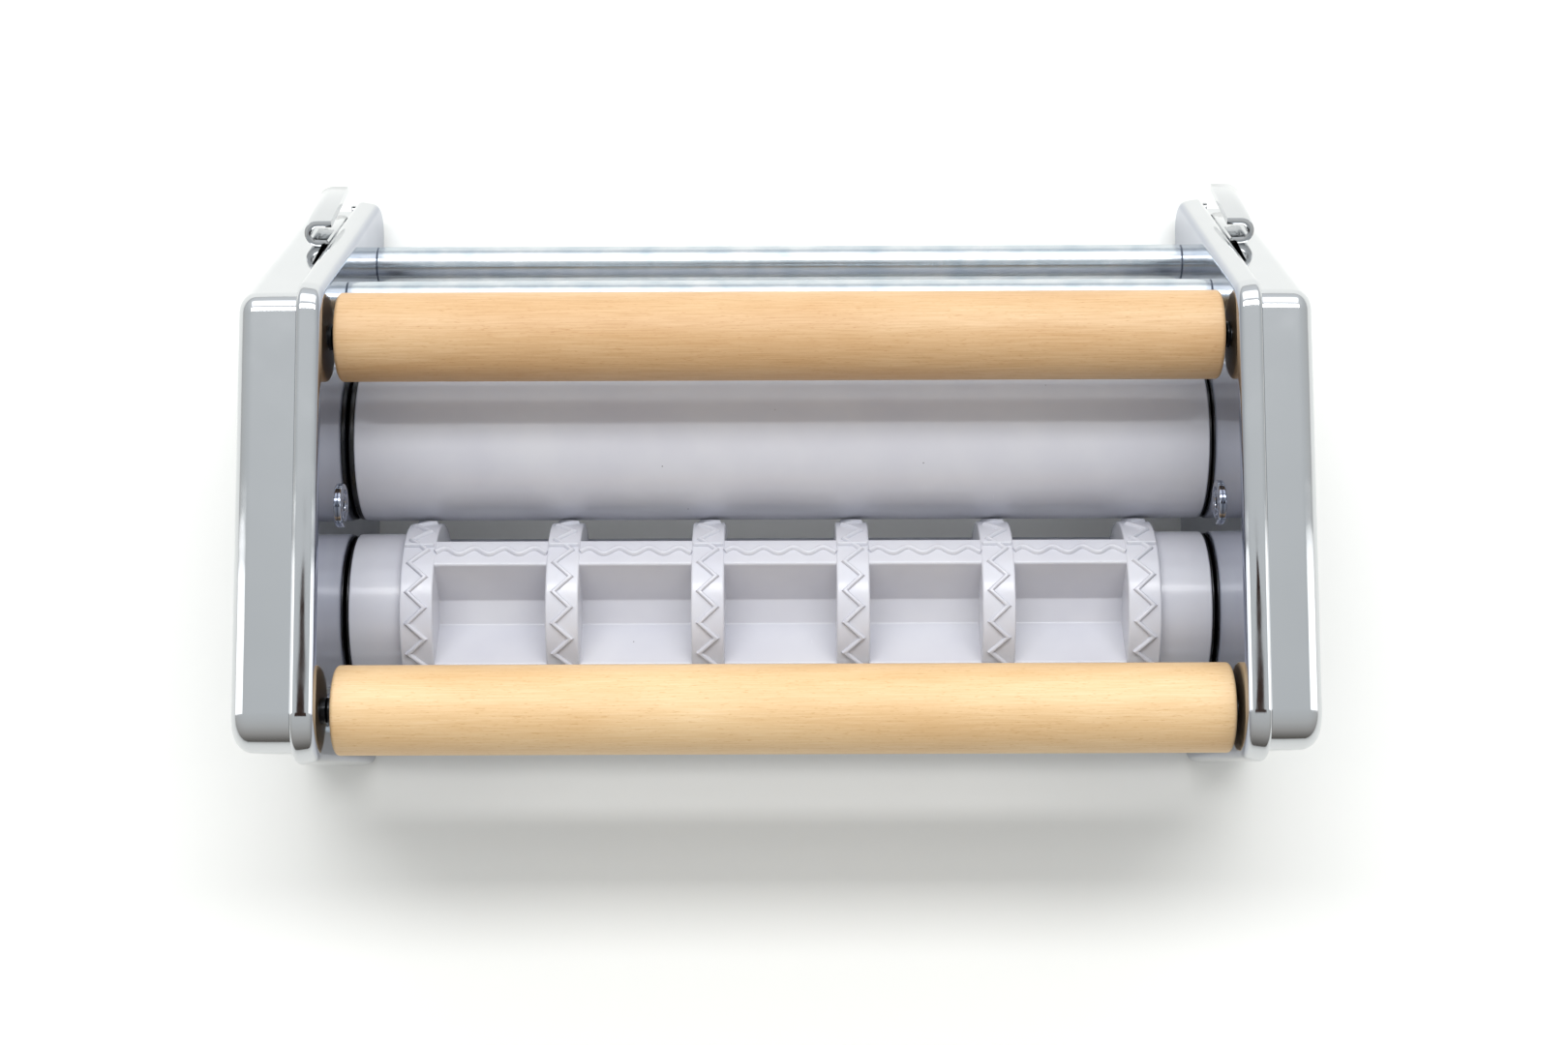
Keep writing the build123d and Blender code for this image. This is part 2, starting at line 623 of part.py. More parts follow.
# Gears, their pins and the shaft clips, in mesh at rest
for name, axis, turn in (("ravioli", RAVIOLI_AXIS, 0.0), ("smooth", SMOOTH_AXIS, pi / GEAR_TEETH)):
    save(roller_gear(axis, turn), f"{name}_roller_gear")

    with BuildPart() as gear_pin:
        cross_bar(axis, HUB_RADIUS, PIN_RADIUS)
    save(gear_pin, f"{name}_gear_pin")

    with BuildPart() as shaft_clips:
        inner = GROOVE_RADIUS + PRESS_GAP
        for start in (-LEFT_CLIP_START - CLIP_THICK, RIGHT_CLIP_START):
            shaft_clip(start, start + CLIP_THICK, axis, CLIP_RADIUS, inner)
    save(shaft_clips, f"{name}_shaft_clips")
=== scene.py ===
import json
from math import atan2, cos, pi, radians, sin

import bmesh
import bpy
import numpy as np
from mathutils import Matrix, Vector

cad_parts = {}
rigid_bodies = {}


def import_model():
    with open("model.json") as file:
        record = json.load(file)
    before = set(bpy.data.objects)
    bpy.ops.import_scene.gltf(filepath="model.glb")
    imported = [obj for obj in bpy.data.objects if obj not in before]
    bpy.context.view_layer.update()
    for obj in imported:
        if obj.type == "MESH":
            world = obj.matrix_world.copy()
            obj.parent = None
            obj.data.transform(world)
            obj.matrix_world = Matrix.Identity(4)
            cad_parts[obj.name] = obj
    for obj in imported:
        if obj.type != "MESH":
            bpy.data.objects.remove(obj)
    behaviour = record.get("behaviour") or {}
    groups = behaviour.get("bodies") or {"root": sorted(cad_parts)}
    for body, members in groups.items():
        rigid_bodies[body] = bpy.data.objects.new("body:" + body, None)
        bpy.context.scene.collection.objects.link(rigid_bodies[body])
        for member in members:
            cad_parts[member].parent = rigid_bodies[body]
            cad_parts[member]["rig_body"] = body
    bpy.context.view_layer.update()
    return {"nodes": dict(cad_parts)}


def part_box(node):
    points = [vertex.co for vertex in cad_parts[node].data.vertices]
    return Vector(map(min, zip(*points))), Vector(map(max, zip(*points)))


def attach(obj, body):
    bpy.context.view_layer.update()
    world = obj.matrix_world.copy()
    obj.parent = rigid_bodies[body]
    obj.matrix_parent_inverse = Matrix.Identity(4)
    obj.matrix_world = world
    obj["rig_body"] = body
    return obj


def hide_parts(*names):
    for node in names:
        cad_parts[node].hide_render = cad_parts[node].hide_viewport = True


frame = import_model()

# Ravioli roller attachment for a hand-cranked pasta machine. +X runs along the rollers towards
# the crank, +Y points back to the hooks and +Z is up. Sizes are in millimetres unless they say
# metres, and every mesh is turned to metres as it is made.


# --- Camera ----------------------------------------------------------------------------------
# A long-ish lens above the front guide roller, looking almost straight down and a little back.
CAMERA_PLACE = (0.0014, -0.0662, 0.5435)
CAMERA_TILT = radians(6.0)
CAMERA_ROLL = radians(-0.2)
CAMERA_LENS = 55.6

lens = bpy.data.cameras.new("overhead_camera")
lens.lens = CAMERA_LENS
lens.sensor_width = 36.0
camera = bpy.data.objects.new("overhead_camera", lens)
camera.location = CAMERA_PLACE
camera.rotation_euler = (CAMERA_TILT, 0.0, CAMERA_ROLL)
bpy.context.scene.collection.objects.link(camera)
bpy.context.scene.camera = camera


# --- Floor and studio light ------------------------------------------------------------------
# A matt white table in a pale room, dimmer in front and below. A strip box hangs above and a
# little behind the machine, a window box is further back and a narrow strip stands at each side.
# A dark card overhead shows only in reflections, where it leaves a dark streak on the rims.
FLOOR_HALF = 4.0
ROOM_AXIS = (0.0, 0.8, 0.6)
ROOM_LIGHT = ((0.0, "#4E4A45"), (0.10, "#615D58"), (0.30, "#B0AEAB"), (0.50, "#CCCDCC"),
              (0.80, "#DCE0E2"), (0.90, "#EDF0F2"), (1.0, "#F6FAFF"))
ROOM_STRENGTH = 1.0
LIGHT_TARGET = (0.0, 0.0, 0.03)
CARD_HEIGHT = 0.6


def colour(hex_code):
    """Linear colour of an sRGB hex value."""
    srgb = np.array([int(hex_code[i:i + 2], 16) for i in (1, 3, 5)]) / 255
    linear = np.where(srgb <= 0.04045, srgb / 12.92, ((srgb + 0.055) / 1.055) ** 2.4)
    return (*linear.tolist(), 1.0)


def add(tree, kind, inputs=None, **settings):
    """Add one node with its own settings, and set or link its inputs."""
    made = tree.nodes.new(kind)
    for name, value in settings.items():
        setattr(made, name, value)
    for name, value in (inputs or {}).items():
        if isinstance(value, bpy.types.NodeSocket):
            tree.links.new(value, made.inputs[name])
        else:
            made.inputs[name].default_value = value
    return made


def set_stops(ramp, stops):
    """Give a colour ramp its stops, each a place from 0 to 1 and a hex colour."""
    elements = ramp.color_ramp.elements
    for place, hex_code in stops[1:-1]:
        elements.new(place).color = colour(hex_code)
    for element, (place, hex_code) in ((elements[0], stops[0]), (elements[-1], stops[-1])):
        element.position = place
        element.color = colour(hex_code)


def studio_room():
    """Room around the table: brightest towards its window axis, dimmest in front and below."""
    room = bpy.data.worlds.new("studio_room")
    room.use_nodes = True
    tree = room.node_tree
    tree.nodes.clear()
    direction = add(tree, "ShaderNodeTexCoord")
    facing = add(tree, "ShaderNodeVectorMath", {0: direction.outputs["Generated"], 1: ROOM_AXIS},
                 operation="DOT_PRODUCT")
    share = add(tree, "ShaderNodeMapRange", {"Value": facing.outputs["Value"], "From Min": -1.0})
    shade = add(tree, "ShaderNodeValToRGB", {0: share.outputs["Result"]})
    set_stops(shade, ROOM_LIGHT)
    light = add(tree, "ShaderNodeBackground", {"Color": shade.outputs["Color"], "Strength": ROOM_STRENGTH})
    add(tree, "ShaderNodeOutputWorld", {"Surface": light.outputs[0]})
    return room


def soft_box(name, place, width, depth, power):
    """Rectangular soft box, sizes and place in metres, aimed from its place at the machine."""
    data = bpy.data.lights.new(name, "AREA")
    data.shape = "RECTANGLE"
    data.size = width
    data.size_y = depth
    data.energy = power
    box = bpy.data.objects.new(name, data)
    way = np.array(LIGHT_TARGET) - np.array(place)
    box.location = place
    box.rotation_euler = (np.arctan2(np.hypot(way[0], way[1]), -way[2]), 0.0, np.arctan2(-way[0], way[1]))
    bpy.context.scene.collection.objects.link(box)


def stage_sheet(name, corners, hex_code):
    """Flat matt sheet of the studio, its corners in metres."""
    mesh = bpy.data.meshes.new(name)
    mesh.from_pydata(corners, [], [tuple(range(len(corners)))])
    sheet = bpy.data.objects.new(name, mesh)
    bpy.context.scene.collection.objects.link(sheet)
    paint = bpy.data.materials.new(name)
    paint.use_nodes = True
    shader = paint.node_tree.nodes["Principled BSDF"]
    shader.inputs["Base Color"].default_value = colour(hex_code)
    shader.inputs["Roughness"].default_value = 0.8
    shader.inputs["Specular IOR Level"].default_value = 0.2
    mesh.materials.append(paint)
    return sheet


bpy.context.scene.world = studio_room()
bpy.context.scene.view_settings.view_transform = "Standard"
soft_box("strip_box", (0.0, 0.42, 0.93), 1.3, 0.2, 7.0)
soft_box("window_box", (0.0, 0.95, 0.75), 1.4, 0.6, 2.8)
soft_box("left_strip", (-1.15, 0.0, 0.6), 0.2, 1.2, 1.0)
soft_box("right_strip", (1.15, 0.0, 0.6), 0.2, 1.2, 1.0)

stage_sheet("matt_white_table", [(-FLOOR_HALF, -FLOOR_HALF, 0), (FLOOR_HALF, -FLOOR_HALF, 0),
                                 (FLOOR_HALF, FLOOR_HALF, 0), (-FLOOR_HALF, FLOOR_HALF, 0)], "#F6F6F3")
camera_arm = stage_sheet("dark_camera_arm", [(-0.09, -0.13, CARD_HEIGHT), (0.09, -0.13, CARD_HEIGHT),
                                             (0.01, 0.025, CARD_HEIGHT), (-0.01, 0.025, CARD_HEIGHT)],
                         "#3A2720")
camera_arm.visible_camera = False


# --- Side panels -----------------------------------------------------------------------------
# Each side is a shallow pan of 1.5 mm steel whose rim turns outwards, with a deeper cover pan
# nested in it. Both are deep drawn, polished and bright chromed; three screws hold the cover.
MM = 0.001
RIM_CROWN = 0.95
RIM_CROWN_DEPTH = 6.0
COVER_CROWN = 0.12
TOP_LENGTH = 93.4
BASE_LENGTH = 131.3
PANEL_CORNER_RADII = np.array([4.0, 10.0, 7.2, 7.0])
SMALLEST_CORNER = 0.7
SHEET = 1.5
RIM_DEPTH = 5.0
RIM_LIP = 4.1
RIM_LIP_ROOT = 3.5
RIM_EDGE = 1.4
COVER_INSET = 2.3
COVER_EDGE = 3.5
FLAT_INSET = 16.0
COVER_SCREW_HEAD = 3.1
COVER_SCREW_SHANK = 1.6
CRANK_HOLE = 8.5
STUD_SHANK = 2.5
HOOK_TOP = 41.5
HOOK_BLADE_X = 96.05
SLOT_SPAN = (26.5, 59.5)
SLOT_WIDTH = 2.8
SLOT_NARROW = 1.2
NIB_PLACE = (96.0, 77.0)
NIB_HALF = 0.7
NIB_HEIGHT = 0.6


def corners_of(node):
    """Lowest and highest corner of a CAD node, in millimetres."""
    return [np.array(corner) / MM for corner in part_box(node)]


def axis_of(node):
    """Y and Z of the middle of a CAD node, in millimetres."""
    low, high = corners_of(node)
    return (low[1:] + high[1:]) / 2


def rounded(corners, radii, arc_steps=6, run_steps=1, closed=True, hold=0.12):
    """Path through corners, each rounded by its own radius; works on a stack of paths at once.

    An arc of radius r leaves the arriving line r tan(turn / 2) before its corner, and turns
    steadily to the leaving line. Points held close to both ends of a straight run keep it flat.
    """
    corners = np.asarray(corners, float)
    radii = np.broadcast_to(np.asarray(radii, float), corners.shape[:-1])[..., None]
    before = np.roll(corners, 1, axis=-2)
    after = np.roll(corners, -1, axis=-2)
    if not closed:
        before[..., 0, :] = 2 * corners[..., 0, :] - corners[..., 1, :]
        after[..., -1, :] = 2 * corners[..., -1, :] - corners[..., -2, :]
    arriving = corners - before
    arriving /= np.linalg.norm(arriving, axis=-1, keepdims=True)
    leaving = after - corners
    leaving /= np.linalg.norm(leaving, axis=-1, keepdims=True)
    left = np.stack([-arriving[..., 1], arriving[..., 0]], -1)
    turn = np.arctan2((left * leaving).sum(-1), (arriving * leaving).sum(-1))[..., None]
    reach = radii * np.tan(np.abs(turn) / 2)
    inwards = np.sign(turn) * left
    angle = np.abs(turn) * np.linspace(0, 1, arc_steps + 1)
    bend = np.sin(angle)[..., None] * arriving[..., None, :]
    bend = bend + (1 - np.cos(angle))[..., None] * inwards[..., None, :]
    arcs = (corners - reach * arriving)[..., None, :] + radii[..., None] * bend
    run_start = corners + reach * leaving
    run = np.roll(arcs[..., 0, :], -1, axis=-2) - run_start
    held = np.clip(hold / np.maximum(np.linalg.norm(run, axis=-1, keepdims=True), 1e-9), 0, 0.3)
    inner = np.broadcast_to(np.linspace(0, 1, run_steps + 1)[1:-1], (*run.shape[:-1], run_steps - 1))
    fractions = np.concatenate([held, inner, 1 - held], -1)
    runs = run_start[..., None, :] + fractions[..., None] * run[..., None, :]
    path = np.concatenate([arcs, runs], -2)
    path = path.reshape(*path.shape[:-3], -1, 2)
    if closed:
        return np.concatenate([path, path[..., :1, :]], -2)
    return path[..., :-(run_steps + 1), :]


def skin(name, grids):
    """One mesh from grids of points in millimetres, joined where they meet and facing outwards."""
    points = []
    faces = []
    count = 0
    for grid in grids:
        rows, columns = grid.shape[:2]
        index = count + np.arange(rows * columns).reshape(rows, columns)
        quads = [index[:-1, :-1], index[1:, :-1], index[1:, 1:], index[:-1, 1:]]
        faces.append(np.stack(quads, -1).reshape(-1, 4))
        points.append(grid.reshape(-1, 3))
        count += rows * columns
    mesh = bpy.data.meshes.new(name)
    mesh.from_pydata((np.concatenate(points) * MM).tolist(), [], np.concatenate(faces).tolist())
    shell = bmesh.new()
    shell.from_mesh(mesh)
    bmesh.ops.remove_doubles(shell, verts=shell.verts, dist=2e-6)
    bmesh.ops.dissolve_degenerate(shell, edges=shell.edges, dist=1e-6)
    bmesh.ops.recalc_face_normals(shell, faces=shell.faces)
    shell.to_mesh(mesh)
    shell.free()
    return mesh


def smooth(mesh, crease):
    """Shade a mesh smooth, with edges sharper than the crease angle left crisp."""
    mesh.polygons.foreach_set("use_smooth", np.ones(len(mesh.polygons), bool))
    mesh.set_sharp_from_angle(angle=radians(crease))


def cut(piece, cutters):
    """Take closed cutters out of a closed piece, each cutter a list of grids."""
    tools = []
    for grids in cutters:
        tool = bpy.data.objects.new("cutter", skin("cutter", grids))
        bpy.context.scene.collection.objects.link(tool)
        modifier = piece.modifiers.new("cut", "BOOLEAN")
        modifier.operation = "DIFFERENCE"
        modifier.solver = "EXACT"
        modifier.object = tool
        tools.append(tool)
    graph = bpy.context.evaluated_depsgraph_get()
    whole = piece.data
    piece.data = bpy.data.meshes.new_from_object(piece.evaluated_get(graph))
    piece.modifiers.clear()
    bpy.data.meshes.remove(whole)
    for tool in tools:
        bpy.data.meshes.remove(tool.data)


def place_on(body, name, grids, finish, cutters=(), crease=35.0):
    """Make a piece from grids, give it its finish, and let it ride on a body."""
    piece = bpy.data.objects.new(name, skin(name, grids))
    bpy.context.scene.collection.objects.link(piece)
    if cutters:
        cut(piece, cutters)
    piece.data.name = name
    smooth(piece.data, crease)
    piece.data.materials.clear()
    piece.data.materials.append(finish)
    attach(piece, body)
    return piece


def fit(name, grids, finish, nodes, cutters=()):
    """Make a piece from grids and put it in place of its CAD nodes, on their body."""
    piece = place_on(frame["nodes"][nodes[0]]["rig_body"], name, grids, finish, cutters)
    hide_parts(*nodes)


def turned(profile, axis, steps=96):
    """Turned surface about a line along X: each profile point (x, r) goes round a full circle."""
    angle = np.linspace(0, 2 * pi, steps + 1)
    x = profile[:, :1] + 0 * angle
    y = axis[0] + profile[:, 1:] * np.cos(angle)
    z = axis[1] + profile[:, 1:] * np.sin(angle)
    return np.stack([x, y, z], -1)


def capped(grid):
    """Close a tube of loops at both ends, each with one middle point."""
    middles = grid[[0, -1]].mean(1, keepdims=True) + 0 * grid[[0, -1]]
    return np.concatenate([middles[:1], grid, middles[1:]])


left_low, left_high = corners_of("left_side_frame")
right_low = corners_of("right_side_frame")[0]
MID_X = (left_high[0] + right_low[0]) / 2
HALF_GAP = (right_low[0] - left_high[0]) / 2
PANEL_TOP = left_high[2]
TOP_BACK = left_low[1] + TOP_LENGTH
FRONT = left_low[1]
BASE_BACK = FRONT + BASE_LENGTH
PANEL_CORNERS = np.array([[FRONT, 0], [FRONT, PANEL_TOP], [TOP_BACK, PANEL_TOP], [BASE_BACK, 0]])
SLOPE = atan2(BASE_BACK - TOP_BACK, PANEL_TOP)
SIDES = (("left", -1), ("right", 1))


def pan(sign, profile):
    """Pan with the panel's outline: at each profile point (depth, inset) the outline is drawn in
    by the inset, its corners less round by as much, and stands depth outwards from the wall."""
    depth, inset = profile[:, 0], profile[:, 1]
    edges = np.roll(PANEL_CORNERS, -1, axis=0) - PANEL_CORNERS
    edges /= np.linalg.norm(edges, axis=1, keepdims=True)
    inwards = np.stack([edges[:, 1], -edges[:, 0]], -1)
    arriving = np.roll(inwards, 1, axis=0)
    mitre = (arriving + inwards) / (1 + (arriving * inwards).sum(1, keepdims=True))
    corners = PANEL_CORNERS + inset[:, None, None] * mitre
    radii = np.maximum(PANEL_CORNER_RADII - inset[:, None], SMALLEST_CORNER)
    loops = rounded(corners, radii, arc_steps=10)
    x = MID_X + sign * (HALF_GAP + depth[:, None]) + 0 * loops[..., 0]
    return capped(np.concatenate([x[..., None], loops], -1))


def on_slope(across, down, out):
    """Points of the sloping back: across from the middle, down the slope, and out from it."""
    y = TOP_BACK + down * sin(SLOPE) + out * cos(SLOPE)
    z = PANEL_TOP - down * cos(SLOPE) + out * sin(SLOPE)
    return np.stack([MID_X + across + 0 * y, y, z], -1)


def slope_block(middle, corners, radius, outs):
    """Block standing on the slope: an outline of rounded corners about a middle, carried from one
    level outwards to another."""
    outline = rounded(corners, radius) + middle
    levels = np.array(outs)[:, None]
    across = outline[:, 0] + 0 * levels
    down = outline[:, 1] + 0 * levels
    return capped(on_slope(across, down, levels + 0 * outline[:, 0]))


def bar(x_from, x_to, axis, radius_from, radius_to, steps=48):
    """Closed round bar or cone along X."""
    profile = np.array([[x_from, 0.0], [x_from, radius_from], [x_to, radius_to], [x_to, 0.0]])
    return turned(profile, axis, steps)


def finish_of(name, base, metallic, roughness):
    """New material with those values on its shader, and object coordinates in millimetres."""
    made = bpy.data.materials.new(name)
    made.use_nodes = True
    tree = made.node_tree
    shader = tree.nodes["Principled BSDF"]
    shader.inputs["Base Color"].default_value = colour(base)
    shader.inputs["Metallic"].default_value = metallic
    shader.inputs["Roughness"].default_value = roughness
    place = add(tree, "ShaderNodeTexCoord")
    scaled = add(tree, "ShaderNodeMapping", {"Vector": place.outputs["Object"], "Scale": (1000, 1000, 1000)})
    return made, tree, shader, scaled.outputs["Vector"]


def bright_chrome():
    """Bright chrome plate on drawn steel: a mirror, wavy over some 20 mm where the sheet was
    drawn and polished, with faint greasy patches that take the edge off its reflections. The
    inner faces of the walls have a darker, bluer base colour than the rest, which is painted
    shade and a painted bluish reflection."""
    made, tree, shader, mm = finish_of("bright_chrome", "#C9CBCD", 1.0, 0.06)
    parts = add(tree, "ShaderNodeSeparateXYZ", {"Vector": mm})
    # Painted shade: from the inner wall faces out to the rim's edge the base colour turns darker and bluer, a
    # painted shade and painted bluish reflection.
    centred = add(tree, "ShaderNodeMath", {0: parts.outputs["X"], 1: MID_X}, operation="SUBTRACT")
    aside = add(tree, "ShaderNodeMath", {0: centred.outputs[0]}, operation="ABSOLUTE")
    share = add(tree, "ShaderNodeMapRange", {"Value": aside.outputs[0], "From Min": HALF_GAP,
                                              "From Max": HALF_GAP + RIM_EDGE})
    plate = add(tree, "ShaderNodeValToRGB", {0: share.outputs["Result"]})
    set_stops(plate, ((0.1, "#9DA2AF"), (0.7, "#C9CBCD")))
    tree.links.new(plate.outputs["Color"], shader.inputs["Base Color"])
    waves = add(tree, "ShaderNodeTexNoise", {"Vector": mm, "Scale": 1 / 20, "Detail": 1.0})
    smears = add(tree, "ShaderNodeTexNoise", {"Vector": mm, "Scale": 1 / 9, "Detail": 4.0})
    rough = add(tree, "ShaderNodeMapRange", {"Value": smears.outputs["Fac"], "From Min": 0.35,
                                              "From Max": 0.75, "To Min": 0.045, "To Max": 0.14})
    bump = add(tree, "ShaderNodeBump", {"Height": waves.outputs["Fac"], "Strength": 0.6,
                                         "Distance": 0.0004})
    tree.links.new(rough.outputs["Result"], shader.inputs["Roughness"])
    tree.links.new(bump.outputs["Normal"], shader.inputs["Normal"])
    return made


chrome = bright_chrome()
hopper_stud_axis = axis_of("left_hopper_stud")
ravioli_axis = axis_of("ravioli_roller_shaft")
smooth_axis = axis_of("smooth_roller_shaft")
# Y and Z of each cover screw, then each hook rivet's place down the slope and out from it
COVER_SCREW_AXES = np.array([[FRONT + 45.9, 66.0], [FRONT + 9.9, 10.0], [FRONT + 84.9, 10.0]])
HOOK_RIVET_PLACES = ((44.1, -21.8), (48.9, -21.8))
HOOK_RIVET_RADIUS = 1.27

for side, sign in SIDES:
    wall_path = [(0, FLAT_INSET), (0, 0), (RIM_DEPTH, 0), (RIM_DEPTH, COVER_INSET - 0.01),
                 (RIM_LIP, COVER_INSET - 0.01), (RIM_LIP_ROOT, SHEET), (SHEET, SHEET), (SHEET, FLAT_INSET)]
    wall_radii = [0, RIM_EDGE, 1.3, 0.1, 0.1, 0.3, 0.5, 0]
    wall_profile = rounded(wall_path, wall_radii, arc_steps=8, run_steps=6, closed=False)
    wall_profile[:, 1] += RIM_CROWN * (1 - wall_profile[:, 0] / RIM_CROWN_DEPTH) ** 2
    wall_x = MID_X + sign * HALF_GAP
    wall_holes = [[bar(wall_x - 5, wall_x + 5, hopper_stud_axis, STUD_SHANK, STUD_SHANK)]]
    for down, out in HOOK_RIVET_PLACES:
        rivet_axis = on_slope(0, np.array([down]), out)[0, 1:]
        wall_holes.append([bar(wall_x - 1, wall_x + 5, rivet_axis, HOOK_RIVET_RADIUS, HOOK_RIVET_RADIUS)])
    fit(f"{side}_wall_pan", [pan(sign, wall_profile)], chrome,
        [f"{side}_side_frame"], wall_holes)

    cover_low, cover_high = corners_of(f"{side}_side_cover")
    outer_x = cover_high[0] if sign > 0 else cover_low[0]
    outer = abs(outer_x - MID_X) - HALF_GAP
    inner = COVER_INSET + SHEET
    cover_path = [(outer, FLAT_INSET), (outer, COVER_INSET), (SHEET, COVER_INSET), (SHEET, inner),
                  (outer - SHEET, inner), (outer - SHEET, FLAT_INSET)]
    cover_radii = [0, COVER_EDGE, 0.2, 0.2, COVER_EDGE - SHEET, 0]
    cover_profile = rounded(cover_path, cover_radii, arc_steps=10, run_steps=6, closed=False)
    edge_share = (2 * cover_profile[:, 0] - RIM_DEPTH) / (outer - RIM_DEPTH)
    cover_profile[:, 1] += COVER_CROWN * (edge_share - 1) ** 2
    openings = []
    for axis in COVER_SCREW_AXES:
        seat_x = outer_x - sign * SHEET
        openings.append([bar(seat_x - sign, outer_x + sign * 0.01, axis, COVER_SCREW_SHANK,
                             COVER_SCREW_HEAD + 0.05)])
    if sign > 0:
        openings.append([bar(outer_x - 4, outer_x + 4, ravioli_axis, CRANK_HOLE, CRANK_HOLE, 96)])
    slot_top, slot_bottom = SLOT_SPAN
    slot = [[-SLOT_NARROW / 2, slot_top], [SLOT_NARROW / 2, slot_top],
            [SLOT_WIDTH / 2, HOOK_TOP], [SLOT_WIDTH / 2, slot_bottom],
            [-SLOT_WIDTH / 2, slot_bottom], [-SLOT_WIDTH / 2, HOOK_TOP]]
    openings.append([slope_block((sign * HOOK_BLADE_X, 0), slot, 0.5, (-COVER_INSET - 3, 1.0))])
    fit(f"{side}_cover_pan", [pan(sign, cover_profile)], chrome,
        [f"{side}_side_cover"], openings)
    nib_levels = (-COVER_INSET - 1.0, NIB_HEIGHT - COVER_INSET)
    square = NIB_HALF * np.array([[-1, -1], [1, -1], [1, 1], [-1, 1]])
    nib = slope_block((sign * NIB_PLACE[0], NIB_PLACE[1]), square, 0.25, nib_levels)
    place_on("frame", f"{side}_cover_nib", [nib], chrome)


# --- Hooks -----------------------------------------------------------------------------------
# A strip of chromed 1.5 mm steel, riveted to the wall inside the cover. It comes out of the slot,
# bends outwards and folds back on itself into a flared lip that grips the machine.
HOOK_LENGTH = 23.0
HOOK_SHEET = 1.5
HOOK_GAP_TOP = 2.6
HOOK_GAP_BOTTOM = 5.0
HOOK_TURN_X = 98.0
HOOK_BEND = 0.45
HOOK_LIP_ENDS = (2.6, 3.1)
HOOK_NECK_LENGTH = 18.0
HOOK_FOOT_LENGTH = 10.0
HOOK_FOOT_X = 92.25
HOOK_FOOT_LEVEL = -12.75
HOOK_FOOT_END = -25.0
HOOK_EDGE = 0.35


def hook_sheet(sign):
    """Folded strip: a rounded rectangle, sheet thick and as long as the hook, is carried along
    the fold line. The line rises out of the slot, bends outwards, makes a half circle of the gap
    plus one sheet across, and comes back; the gap widens steadily down the slope."""
    half = HOOK_SHEET / 2
    edge = HOOK_EDGE
    along = np.array([0, edge / 3, edge, HOOK_LENGTH / 2, HOOK_LENGTH - edge, HOOK_LENGTH - edge / 3,
                      HOOK_LENGTH]) / HOOK_LENGTH
    lift = half - edge * np.array([1, 0.25, 0, 0, 0, 0.25, 1])
    share = np.concatenate([along, along[::-1], along[:1]])
    thick = np.concatenate([-lift, lift[::-1], -lift[:1]])
    fold_line = [(HOOK_FOOT_X, HOOK_FOOT_END), (HOOK_FOOT_X, HOOK_FOOT_LEVEL),
                 (HOOK_BLADE_X, HOOK_FOOT_LEVEL), (HOOK_BLADE_X, half), (HOOK_TURN_X, half)]
    bends = rounded(fold_line, [0, 1.0, 1.0, HOOK_BEND, 0], closed=False)
    bends = bends[np.linalg.norm(np.diff(bends, axis=0, prepend=-1), axis=1) > 1e-6]
    length_at = [HOOK_FOOT_LENGTH, HOOK_FOOT_LENGTH, HOOK_NECK_LENGTH, HOOK_NECK_LENGTH, HOOK_LENGTH]
    length = np.interp(bends[:, 1], [HOOK_FOOT_LEVEL, -4.5, -3.5, -0.5, 0.0], length_at)
    fold = np.linspace(-pi / 2, pi / 2, 17)[1:]
    down = HOOK_TOP + share * np.concatenate([length, np.full(len(fold) + 2, HOOK_LENGTH)])[:, None]
    gap = HOOK_GAP_TOP + (HOOK_GAP_BOTTOM - HOOK_GAP_TOP) * share
    radius = gap / 2 + half
    middle_level = HOOK_SHEET + gap / 2
    back = HOOK_TURN_X - np.array(HOOK_LIP_ENDS)[:, None]
    across = np.concatenate([bends[:, :1] + 0 * share, HOOK_TURN_X + radius * np.cos(fold)[:, None],
                             back + 0 * share])
    out = np.concatenate([bends[:, 1:] + 0 * share, middle_level + radius * np.sin(fold)[:, None],
                          middle_level + radius + 0 * back])
    step = np.stack([np.gradient(across, axis=0), np.gradient(out, axis=0)], -1)
    step /= np.linalg.norm(step, axis=-1, keepdims=True)
    across = across + thick * step[..., 1]
    out = out - thick * step[..., 0]
    return capped(on_slope(sign * across, down, out - COVER_INSET))


for side, sign in SIDES:
    fit(f"{side}_hook_strip", [hook_sheet(sign)], chrome, [f"{side}_hook"])


# --- Hopper studs ----------------------------------------------------------------------------
# Chromed tubular rivets that the filling hopper's hooks drop over: a rolled head with a turned-in
# lip stands 0.8 mm off the wall, and the shank is flared over behind it.
STUD_HEAD = 4.55
STUD_STAND = 0.8
STUD_GROOVE_RADII = (3.3, 2.9, 2.5)
STUD_GROOVE_LEVEL = 0.35
STUD_TAIL = 3.4
STUD_BORE = 1.5

groove_outer, groove_middle, groove_inner = STUD_GROOVE_RADII
for side, sign in SIDES:
    stud_path = [(0, STUD_HEAD), (STUD_STAND, STUD_HEAD), (STUD_STAND, groove_outer),
                 (STUD_GROOVE_LEVEL, groove_middle), (STUD_STAND, groove_inner),
                 (STUD_STAND, STUD_BORE), (-SHEET - STUD_STAND, STUD_BORE), (-SHEET - STUD_STAND, STUD_TAIL),
                 (-SHEET, STUD_TAIL), (-SHEET, STUD_SHANK - 0.02), (0, STUD_SHANK - 0.02)]
    stud_radii = [0.1, 0.39, 0.3, 0.25, 0.3, 0.39, 0.2, 0.2, 0.1, 0.1, 0.1]
    stud_profile = rounded(stud_path, stud_radii)
    stud_profile[:, 0] = MID_X + sign * (HALF_GAP - stud_profile[:, 0])
    fit(f"{side}_eyelet_stud", [turned(stud_profile, hopper_stud_axis)], chrome,
        [f"{side}_hopper_stud"])


# --- Tie rods --------------------------------------------------------------------------------
# Three drawn 8 mm bars, bright zinc plated, that hold the walls apart. A screw through the wall
# goes into each end.
ROD_EDGE = 0.25


